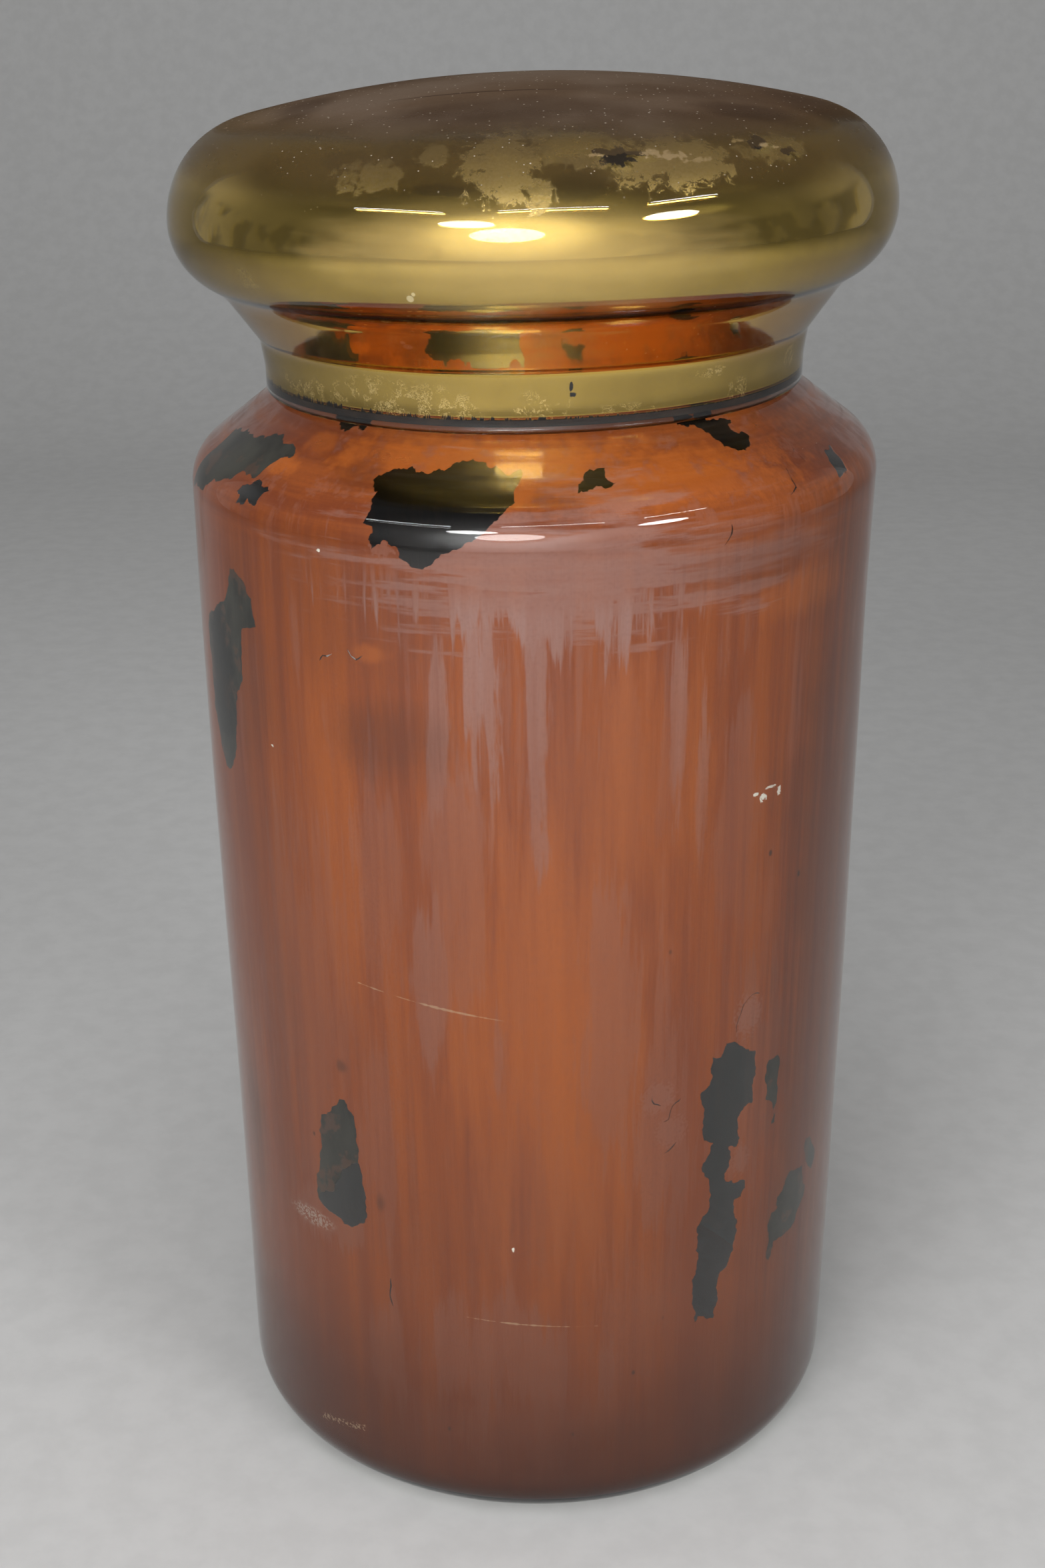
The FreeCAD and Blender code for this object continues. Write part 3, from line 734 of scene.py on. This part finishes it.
def paint_from_inside():
    g = Graph("brown_paint_inside")
    brush = g.noise(g.stretched(40.0, 5.0), 1.0, 5.0, 0.62)
    cloud = g.noise(g.place, 18.0, 5.0, 0.6)
    color = g.mix(brush.rise(0.35, 0.68), srgb(56, 34, 26), srgb(84, 48, 32))
    color = g.mix(cloud.rise(0.5, 0.7) * 0.5, color, srgb(40, 28, 24))
    return g.finish(g.shade(Base_Color=color, Roughness=0.8, Normal=g.bump(brush, 0.0008)))


def thin_residue():
    g = Graph("thin_grey_residue")
    cloud = g.noise(g.stretched(34.0, 14.0), 1.0, 5.0, 0.62)
    torn = g.noise(g.place, 60.0, 5.0, 0.65)
    grain = g.noise(g.place, 600.0, 2.0, 0.6)
    color = g.mix(cloud.rise(0.35, 0.65), srgb(38, 37, 34), srgb(62, 60, 54))
    color = g.mix(torn.rise(0.54, 0.6) * 0.45, color, srgb(96, 66, 52))
    color = g.mix(grain.rise(0.55, 0.8) * 0.35, color, srgb(88, 82, 74))
    # A near-black patch on the residue: painted shade that stands in for a loss looking into the jar's
    # dark inside.
    painted_dark_hole = g.patch(-203, 470, 17, 36, (torn - 0.5) * 2.0)
    color = g.mix(painted_dark_hole * 0.85, color, srgb(22, 22, 22))
    chip = g.patch(-118, 192, 3.4, 2.2, (grain - 0.5) * 2.4)
    color = g.mix(chip * 0.8, color, srgb(170, 160, 146))
    return g.finish(g.shade(Base_Color=color, Roughness=0.85, Specular_IOR_Level=0.15))


# Ovals on the gold, as on the paint.
LID_SPOTS = [
    (-56, 670, 1.7, 1.4, 1.0), (-54, 672, 0.9, 0.8, 1.0), (-71, 644, 2.8, 1.3, 1.0),
    (-73, 646, 1.6, 0.8, 1.0),
]
LIFTED = [
    (-14, 722, 19, 11, 0.9), (22, 728, 26, 6.5, 0.7), (68, 724, 27, 9, 0.9),
    (129, 726, 24, 4.5, 0.7), (-76, 718, 16, 5, 0.5), (-48, 725, 7, 3, 0.7), (3, 714, 6, 8, 0.7),
]
TARNISHED = [
    (-60, 726, 20, 4, 0.8), (-95, 723, 16, 3.5, 0.7), (22, 723.5, 11, 2.6, 0.9), (-5, 729, 14, 3, 0.8),
    (-30, 729, 13, 4, 0.8), (22, 716, 14, 6, 0.7), (-40, 714, 14, 2, 0.8),
]
GOLD_LOST = [
    (42, 725.5, 7.5, 3.0, 1.0), (50, 726.5, 8, 1.1, 1.0), (35, 727.5, 5, 1.0, 1.0),
    (119, 727.0, 4.5, 1.9, 1.0), (124, 728.5, 4.5, 1.2, 1.0), (137, 723.8, 4.6, 1.5, 1.0),
    (22.5, 624, 1.4, 2.6, 1.0), (23.5, 620, 2.2, 1.2, 1.0),
]
CURLED = [
    (60, 726.6, 7, 0.7, 0.9), (70, 725.0, 8, 0.9, 0.9), (80, 723.4, 5, 0.8, 0.7),
    (31, 726.2, 4, 0.4, 0.8),
    (125, 726.4, 3, 0.4, 0.7), (133, 725.4, 4, 0.5, 0.8), (111, 728.4, 3, 0.4, 0.6),
]
CRACKLED = [
    (-88, 615, 48, 9, 1.0), (4, 614, 16, 8, 0.9), (118, 625, 13, 2.6, 1.0), (142, 614, 10, 7, 0.8),
    (204, 623, 9, 5, 0.8), (-170, 614, 30, 6, 0.7), (60, 612, 30, 3, 0.5), (-150, 672, 12, 8, 0.4),
]


def gold_mirror():
    g = Graph("gold_mirror_film")
    cloud = g.noise(g.place, 26.0, 5.0, 0.6, 0.3)
    torn = g.noise(g.place, 130.0, 6.0, 0.72, 0.4)
    fine = g.noise(g.place, 760.0, 4.0, 0.7, 0.6)
    grain = g.noise(g.place, 900.0, 2.0, 0.6)
    fringe = g.noise(g.stretched(420.0, 60.0), 1.0, 3.0, 0.75).rise(0.38, 0.62)
    rim = (g.height - fringe * 3.2).rise(606.6, 606.0)
    lifted = g.patches(LIFTED, (torn - 0.5) * 3.6 + (cloud - 0.5) * 1.6, 0.2)
    lifted = lifted * (0.55 + g.noise(g.stretched(70.0, 240.0), 1.0, 4.0, 0.6) * 0.8).least(1.0)
    edge = lifted * (1.0 - lifted) * 2.0 * grain.rise(0.4, 0.6)
    tarnished = g.patches(TARNISHED, (torn - 0.5) * 2.2, 0.3)
    lost = g.patches(GOLD_LOST, (torn - 0.5) * 3.4, 0.08).most(rim)
    curled = g.patches(CURLED, (torn - 0.5) * 9.0 + (grain - 0.5) * 2.0, 0.15)
    behind = g.arc.math("ABSOLUTE").rise(190.0, 260.0)
    crackle = g.patches(CRACKLED, (cloud - 0.5) * 1.6, 0.5).most(
        behind * g.height.rise(626.0, 612.0) * 0.6
    )
    crackle = crackle * fine.rise(0.50, 0.52) * fine.rise(0.56, 0.53) * torn.rise(0.47, 0.54)

    color = g.mix(cloud.rise(0.38, 0.7), (0.62, 0.42, 0.08, 1.0), (0.50, 0.335, 0.06, 1.0))
    # Brighter, oranger gold on the flare: a painted reflection of the lit shoulder below.
    painted_flare_band = g.height.rise(624.0, 634.0) * g.height.rise(668.0, 658.0)
    color = g.mix(painted_flare_band * 0.8, color, (0.95, 0.64, 0.16, 1.0))
    # Darker gold towards the sides of the flare and of the band under the bulge: painted shade.
    painted_side_shade = g.arc.math("ABSOLUTE").rise(92.0, 150.0)
    color = g.mix(painted_flare_band * painted_side_shade * 0.75, color, (0.34, 0.16, 0.04, 1.0))
    # Darker gold in a band under the bulge: a painted dark reflection of the floor.
    painted_under_bulge_reflection = g.height.rise(685.0, 677.0) * g.height.rise(655.0, 664.0)
    color = g.mix(painted_under_bulge_reflection * (0.35 + painted_side_shade * 0.3), color, (0.30, 0.19, 0.04, 1.0))
    color = g.mix(g.height.rise(632.0, 627.0) * 0.4, color, (0.36, 0.23, 0.055, 1.0))
    color = g.mix(tarnished * 0.7, color, (0.26, 0.175, 0.04, 1.0))
    color = g.mix(lifted * 0.6, color, srgb(156, 132, 94))
    color = g.mix(g.height.rise(738.0, 746.0), color, srgb(58, 42, 28))
    color = g.mix(edge.least(0.8), color, srgb(206, 178, 124))
    color = g.mix(crackle * 0.75, color, srgb(250, 224, 164))
    color = g.mix(g.patches(LID_SPOTS, (torn - 0.5) * 0.8, 0.2), color, srgb(255, 236, 184))
    color = g.mix(lost, color, srgb(14, 11, 10))
    color = g.mix(curled, color, srgb(188, 160, 120))
    plain = lost.most(curled).most(crackle * 0.7).most(lifted * 0.35)
    surface = g.shade(
        Base_Color=color,
        Metallic=1.0 - plain,
        Roughness=0.03 + cloud.rise(0.5, 0.8) * 0.05 + plain.least(0.5),
        Specular_IOR_Level=0.2,
    )
    return g.finish(surface)


# On the crown, as seen from above: (x, y, half width, half depth, strength).
SMUDGES = [
    (103, -88, 22, 13, 0.8), (141, -38, 18, 30, 0.6), (-110, -43, 14, 24, 0.7),
    (-8, -104, 62, 17, 0.6),
    (60, -60, 40, 14, 0.3), (-60, 30, 50, 30, 0.3), (70, 60, 40, 34, 0.35),
]


def crown_dust_and_glow():
    """Brown dust, thick on the crown and a thin haze where its edge turns over, with a pale smear on
    the bulge's front that is partly a painted glow of the flash lamp.
    """
    g = Graph("crown_dust_and_glow")
    cloud = g.noise(g.place, 11.0, 4.0, 0.55)
    drawn = g.noise(g.stretched(9.0, 60.0), 1.0, 4.0, 0.6)
    grain = g.noise(g.place, 700.0, 2.0, 0.7)
    side = g.arc.math("ABSOLUTE").least(240.0) * 0.025
    level = g.height + side + cloud * 10.0 + drawn * 6.0 - 8.0
    cover = level.rise(731.0, 746.0) * 0.94
    cover = cover.most(level.rise(708.0, 730.0) * 0.2) * (0.86 + grain * 0.28)
    torn = g.noise(g.place, 130.0, 6.0, 0.72, 0.4)
    cover = cover * (1.0 - g.patches(GOLD_LOST, (torn - 0.5) * 3.4, 0.08) * 0.8)
    # A pale smear on the bulge's front: partly a real smear, partly a painted glow of the flash lamp.
    smear_and_painted_glow = g.patch(-6, 688, 62, 17, (drawn - 0.5) * 1.6 + (cloud - 0.5) * 1.4, 0.95)
    smear_and_painted_glow = smear_and_painted_glow * (0.1 + cloud * 0.3) * g.height.rise(722.0, 700.0)
    color = g.mix(cloud.rise(0.35, 0.65), srgb(86, 68, 52), srgb(100, 84, 70))
    color = g.mix(g.across.rise(0.03, 0.14) * 0.7, color, srgb(70, 50, 32))
    color = g.mix(g.height.rise(742.0, 728.0) * 0.6, color, srgb(106, 84, 48))
    smudge = g.patches(SMUDGES, (cloud - 0.5) * 3.0, 0.6, g.plan)
    smudge = smudge.most(g.patch(-36, -66, 46, 0.9, (cloud - 0.5) * 3.0, 0.3, g.plan))
    color = g.mix(smudge * 0.7, color, srgb(52, 37, 27))
    pale = g.specks(g.place, 150.0, 0.10, 0.3).most(g.specks(g.place, 330.0, 0.16, 0.35))
    pale = pale * g.height.rise(700.0, 730.0)
    color = g.mix(pale * 0.75, color, srgb(214, 202, 184))
    # Pale gold below the bulge's top, where the film is mostly the smear: a painted glow.
    color = g.mix(g.height.rise(714.0, 700.0), color, srgb(244, 214, 140))
    cover = cover.most(smear_and_painted_glow).most(pale * 0.7).least(1.0)
    surface = g.shade(Base_Color=color, Roughness=0.9, Specular_IOR_Level=0.1, Alpha=cover)
    return g.finish(surface)


def dark_varnish():
    g = Graph("dark_backing_varnish")
    cloud = g.noise(g.stretched(80.0, 20.0), 1.0, 5.0, 0.6)
    color = g.mix(cloud.rise(0.4, 0.7), srgb(24, 18, 16), srgb(46, 34, 27))
    surface = g.shade(Base_Color=color, Roughness=0.55, Normal=g.bump(cloud, 0.0005))
    return g.finish(surface)


def wear(piece, material, inner=None):
    """Gives a piece its finish, and another to the faces that look at the axis."""
    piece.data.materials.clear()
    piece.data.materials.append(material)
    if inner:
        piece.data.materials.append(inner)
        for face in piece.data.polygons:
            outward = Vector((face.center.x, face.center.y, 0.0)).normalized()
            if face.normal.dot(outward) < -0.2:
                face.material_index = 1


wear(jar_glass, clear_glass("clear_jar_glass", jar_dust))
wear(lid_glass, clear_glass("clear_lid_glass", lid_dust))
wear(gold, gold_mirror())
wear(backing, dark_varnish())
wear(dust_and_glow_film, crown_dust_and_glow())
wear(paint, brushed_paint(), paint_from_inside())
wear(residue, thin_residue())

# ---- Which body each piece rides on, and the node it stands for ----

for piece, body, node in (
    (jar_glass, "jar", "jar_glass"),
    (paint, "jar", "jar_paint"),
    (residue, "jar", "jar_paint"),
    (lid_glass, "lid", "lid_glass"),
    (gold, "lid", "lid_gilding"),
    (backing, "lid", "lid_backing"),
    (dust_and_glow_film, "lid", "lid_glass"),
):
    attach(piece, body)
    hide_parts(node)

# ---- Floor, lights and camera, in metres ----

FLOOR_WIDTH, FLOOR_LENGTH, WALL_HEIGHT, WALL_BEND = 9.0, 7.0, 4.0, 1.2
LAMPS_FACE = Vector((0.0, -0.15, 0.68))
CAMERA_PLACE = (0.0, -1.1211, 0.8203)
CAMERA_LENS = 49.17


def pale_floor():
    g = Graph("pale_floor")
    grain = g.noise(g.place, 40.0, 4.0, 0.6)
    color = g.mix(grain.rise(0.3, 0.7), (0.60, 0.60, 0.595, 1.0), (0.64, 0.64, 0.635, 1.0))
    return g.finish(g.shade(Base_Color=color, Roughness=0.85))


bpy.ops.object.select_all(action="DESELECT")
bpy.ops.mesh.primitive_plane_add(size=1.0)
floor = bpy.context.object
floor.name = "floor"
bpy.ops.object.mode_set(mode="EDIT")
bpy.ops.transform.resize(value=(FLOOR_WIDTH, FLOOR_LENGTH, 1.0))
bpy.ops.mesh.select_all(action="DESELECT")
bpy.ops.object.mode_set(mode="OBJECT")
for vertex in floor.data.vertices:
    vertex.select = vertex.co.y > 0
for edge in floor.data.edges:
    edge.select = all(floor.data.vertices[i].co.y > 0 for i in edge.vertices)
bpy.ops.object.mode_set(mode="EDIT")
bpy.ops.mesh.extrude_region_move(TRANSFORM_OT_translate={"value": (0, 0, WALL_HEIGHT)})
bpy.ops.object.mode_set(mode="OBJECT")
bend = floor.modifiers.new("bend", "BEVEL")
bend.width, bend.segments = WALL_BEND, 16
bpy.ops.object.modifier_apply(modifier=bend.name)
bpy.ops.object.shade_smooth()
wear(floor, pale_floor())


def lamp(name, azimuth, elevation, distance, size, power, shape="ELLIPSE", turn=0.0, seen=True):
    """A lamp that faces the lid. Azimuth runs from the front to the right, in degrees."""
    light = bpy.data.lights.new(name, "AREA")
    light.shape = shape
    light.size, light.size_y = size
    light.energy = power
    made = bpy.data.objects.new(name, light)
    bpy.context.scene.collection.objects.link(made)
    made.visible_glossy = made.visible_transmission = seen
    azimuth, elevation = math.radians(azimuth), math.radians(elevation)
    level = math.cos(elevation)
    away = Vector((math.sin(azimuth) * level, -math.cos(azimuth) * level, math.sin(elevation)))
    place = Matrix.Translation(LAMPS_FACE + away * distance)
    facing = away.to_track_quat("Z", "Y").to_matrix().to_4x4()
    made.matrix_world = place @ facing @ Matrix.Rotation(turn, 4, "Z")


lamp("flash", -9, 17, 2.0, (0.8, 0.5), 11.0)
lamp("left_oval", -23, 28, 2.5, (0.72, 0.27), 11.0)
lamp("right_oval", 45, 28, 2.5, (0.72, 0.27), 13.0)
lamp("middle_tube", 6, 43, 2.8, (1.5, 0.035), 4.0, "RECTANGLE")
lamp("left_tube", -50, 38, 2.8, (1.3, 0.03), 3.0, "RECTANGLE", 0.12)
lamp("right_tube", 55, 41, 2.8, (1.0, 0.03), 3.0, "RECTANGLE", -0.1)
lamp("key", -36, 22, 2.6, (0.9, 0.9), 17.0, seen=False)
lamp("overhead", -10, 78, 2.4, (1.6, 1.6), 24.0, seen=False)


def studio_room():
    """A pale room, darker towards its ceiling. Mirrors also see the flash's wide glow."""
    g = Graph("studio_room", bpy.data.worlds, "Generated")
    front = g.arc.math("ABSOLUTE") * (1 / JAR_RADIUS)
    walls = 0.26 - front.rise(0.45, 0.8) * front.rise(2.3, 1.6) * 0.2
    shapes = g.noise(g.stretched(7.0, 2.5), 1.0, 2.0, 0.5).rise(0.46, 0.56)
    walls = walls * (1.0 - shapes * g.upward.rise(0.3, 0.2) * front.rise(0.3, 0.5) * 0.7)
    glow = g.vector("DOT_PRODUCT", g.place, (-0.13, -0.955, 0.265), out="Value")
    narrow = glow.rise(0.82, 1.0)
    glow = narrow * narrow * 2.0 + glow.rise(0.5, 1.0) * 0.35
    path = g.node("ShaderNodeLightPath", out="Is Glossy Ray")
    mirrored = path.most(path.output("Is Transmission Ray")) * (1.0 - path.output("Is Camera Ray"))
    level = 0.11 + g.upward.rise(0.60, 0.34) * walls + glow * mirrored
    color = g.node("ShaderNodeCombineColor", inputs=(level, level, level))
    surface = g.node("ShaderNodeBackground", inputs=(color, 1.0))
    return g.finish(surface, "ShaderNodeOutputWorld")


bpy.context.scene.world = studio_room()

PITCH, YAW, ROLL = (math.radians(a) for a in (21.81, -0.409, -0.607))
level = math.cos(PITCH)
forward = Vector((math.sin(YAW) * level, math.cos(YAW) * level, -math.sin(PITCH)))
right = Vector((math.cos(YAW), -math.sin(YAW), 0.0))
above = right.cross(forward)
tilted_right = right * math.cos(ROLL) + above * math.sin(ROLL)
tilted_above = above * math.cos(ROLL) - right * math.sin(ROLL)
camera_data = bpy.data.cameras.new("camera")
camera = bpy.data.objects.new("camera", camera_data)
bpy.context.scene.collection.objects.link(camera)
camera_data.lens = CAMERA_LENS
facing = Matrix((tilted_right, tilted_above, -forward)).transposed().to_4x4()
camera.matrix_world = Matrix.Translation(CAMERA_PLACE) @ facing
bpy.context.scene.camera = camera
bpy.context.scene.view_settings.view_transform = "Standard"
